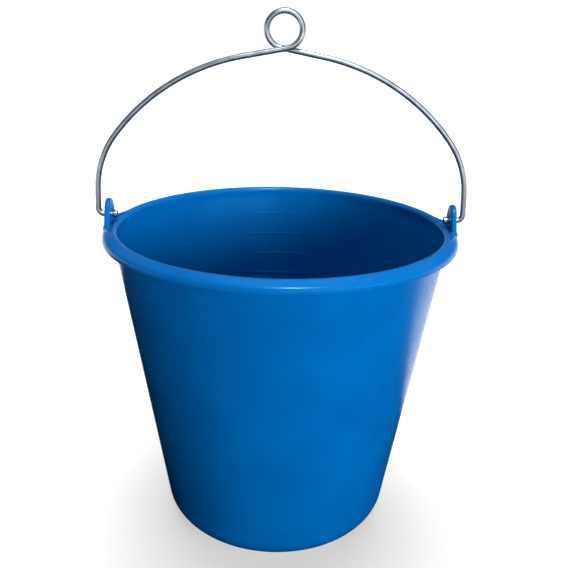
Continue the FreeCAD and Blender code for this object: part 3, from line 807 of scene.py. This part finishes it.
bailPoints, bailFaces, straightened = bailPart()
bailPiece = addMesh("bail_wire", [(bailPoints, bailFaces)], plated)
attribute = bailPiece.data.attributes.new("straightened", "FLOAT_VECTOR", "POINT")
attribute.data.foreach_set("vector", straightened.astype(np.float32).ravel())
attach(bailPiece, "bail")
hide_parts("bail")
print("pieces built:", len(bucketPiece.data.polygons), "and", len(bailPiece.data.polygons), "faces")


# the studio, in metres: floor, black cards and lights
studio = {
    "floorRadius": 12.0,
    "floorColour": "cccccc",
    "floorGlow": 0.5,
    "worldStrength": 0.03,
    # black cards just above the floor: left, right, front and back edge
    "cardColour": "0d0d10",
    "cardHeight": 0.002,
    "leftCard": (-1.6, 0.0, -0.95, 0.55),
    "rightCard": (0.0, 1.6, -0.95, 0.14),
    # each light: azimuth to the right of the front, elevation, spread and strength, then whether
    # it lights matt surfaces and whether it shows in reflections
    "leftPane": (26.0, 7.0, 24.0, 3.0, True, False),
    "rightPane": (56.0, 7.0, 24.0, 2.2, True, False),
    "glow": (32.0, 12.0, 60.0, 1.7, False, True),
    "ceiling": (180.0, 80.0, 40.0, 3.6, True, False),
    "sky": (0.0, 88.0, 130.0, 0.6, True, True),
    "spot": (14.0, 62.0, 8.0, 5.0, False, True),
}


def addFloor():
    turn = np.linspace(0, 2 * math.pi, 96, endpoint=False)
    ring = np.stack([np.cos(turn), np.sin(turn), 0 * turn], 1) * studio["floorRadius"]
    mesh = bpy.data.meshes.new("floor")
    mesh.from_pydata(ring.tolist(), [], [list(range(len(ring)))])
    # white acrylic table, faintly lit from below so that shadows on it stay pale
    material, tree, shader = newMaterial("lit_white_acrylic")
    shader.inputs["Base Color"].default_value = fromHex(studio["floorColour"])
    shader.inputs["Emission Color"].default_value = (1, 1, 1, 1)
    shader.inputs["Emission Strength"].default_value = studio["floorGlow"]
    shader.inputs["Roughness"].default_value = 0.9
    shader.inputs["Specular IOR Level"].default_value = 0.1
    mesh.materials.append(material)
    floor = bpy.data.objects.new("floor", mesh)
    bpy.context.scene.collection.objects.link(floor)


def addCard(name, left, right, front, back):
    # black card lying on the floor, as in a product studio: the camera doesn't see it, but it
    # shows in reflections and the floor under it no longer lights the object from below
    outline = [(left, front), (right, front), (right, back), (left, back)]
    mesh = bpy.data.meshes.new(name)
    mesh.from_pydata([(x, y, studio["cardHeight"]) for x, y in outline], [], [[0, 1, 2, 3]])
    material, tree, shader = newMaterial("black_velvet_card")
    shader.inputs["Base Color"].default_value = fromHex(studio["cardColour"])
    shader.inputs["Specular IOR Level"].default_value = 0.0
    shader.inputs["Roughness"].default_value = 1.0
    mesh.materials.append(material)
    card = bpy.data.objects.new(name, mesh)
    bpy.context.scene.collection.objects.link(card)
    card.visible_camera = False
    card.visible_shadow = False
    card.visible_transmission = False


def pointed(direction):
    # rotation whose -Z looks along a direction
    return Vector(direction).to_track_quat("-Z", "Y").to_matrix().to_4x4()


def fromFront(azimuth, elevation):
    # unit vector towards a place seen from the object, azimuth to the right of the front
    azimuth, elevation = math.radians(azimuth), math.radians(elevation)
    level = math.cos(elevation)
    return Vector((math.sin(azimuth) * level, -math.cos(azimuth) * level, math.sin(elevation)))


def addSun(name, azimuth, elevation, spread, strength, lights, reflected):
    # a sun, wide enough to stand for a window pane or a ceiling
    light = bpy.data.lights.new(name, "SUN")
    light.energy = strength
    light.angle = math.radians(spread)
    lamp = bpy.data.objects.new(name, light)
    lamp.matrix_world = pointed(-fromFront(azimuth, elevation))
    lamp.visible_diffuse = lights
    lamp.visible_glossy = reflected
    bpy.context.scene.collection.objects.link(lamp)


def addWorld():
    world = bpy.data.worlds.new("studio")
    world.use_nodes = True
    tree = world.node_tree
    background = tree.nodes["Background"]
    # brighter near the horizon, as from a pale backdrop, and dim overhead
    place = addNode(tree, "ShaderNodeTexCoord").outputs["Generated"]
    height = addNode(tree, "ShaderNodeSeparateXYZ", None, {"Vector": place})
    share = addNode(tree, "ShaderNodeMapRange", {"interpolation_type": "SMOOTHSTEP"}, {
        "Value": height.outputs["Z"], "From Min": 0.04, "From Max": 0.16,
        "To Min": 1.0, "To Max": studio["worldStrength"]})
    tree.links.new(share.outputs["Result"], background.inputs["Strength"])
    background.inputs["Color"].default_value = (1, 1, 1, 1)
    bpy.context.scene.world = world


# where the camera stands and what it looks at: aimX is in mm, aimShare of the whole height
view = {
    "elevation": 20.17,
    "roll": 1.3,
    "yaw": -0.6,
    "distance": 700.0,
    "aimX": 4.21,
    "aimShare": 0.4886,
    "lens": 46.98,
    "sensor": 36.0,
}


def addCamera():
    # the camera looks at the middle of the object's height from the front, a little above
    elevation, roll, yaw = toRadians(view["elevation"], view["roll"], view["yaw"])
    forward = Vector((0, math.cos(elevation), -math.sin(elevation)))
    right = Vector((1, 0, 0))
    up = right.cross(forward)
    sideways = math.cos(roll) * right + math.sin(roll) * up
    upwards = math.cos(roll) * up - math.sin(roll) * right
    aim = Vector((view["aimX"], 0, view["aimShare"] * bailHigh[2]))
    turned = Matrix.Rotation(yaw, 3, "Z")
    place = turned @ (aim - forward * view["distance"]) * mm
    axes = Matrix((turned @ sideways, turned @ upwards, turned @ -forward)).transposed()
    data = bpy.data.cameras.new("camera")
    data.sensor_width = view["sensor"]
    data.lens = view["lens"]
    data.clip_start = 0.01
    camera = bpy.data.objects.new("camera", data)
    camera.matrix_world = Matrix.Translation(place) @ axes.to_4x4()
    bpy.context.scene.collection.objects.link(camera)
    bpy.context.scene.camera = camera


addFloor()
addCard("black_card_left", *studio["leftCard"])
addCard("black_card_right", *studio["rightCard"])
for name in ("leftPane", "rightPane", "glow", "ceiling", "sky", "spot"):
    addSun(name, *studio[name])
addWorld()
addCamera()
bpy.context.scene.view_settings.view_transform = "Standard"
print("studio set")
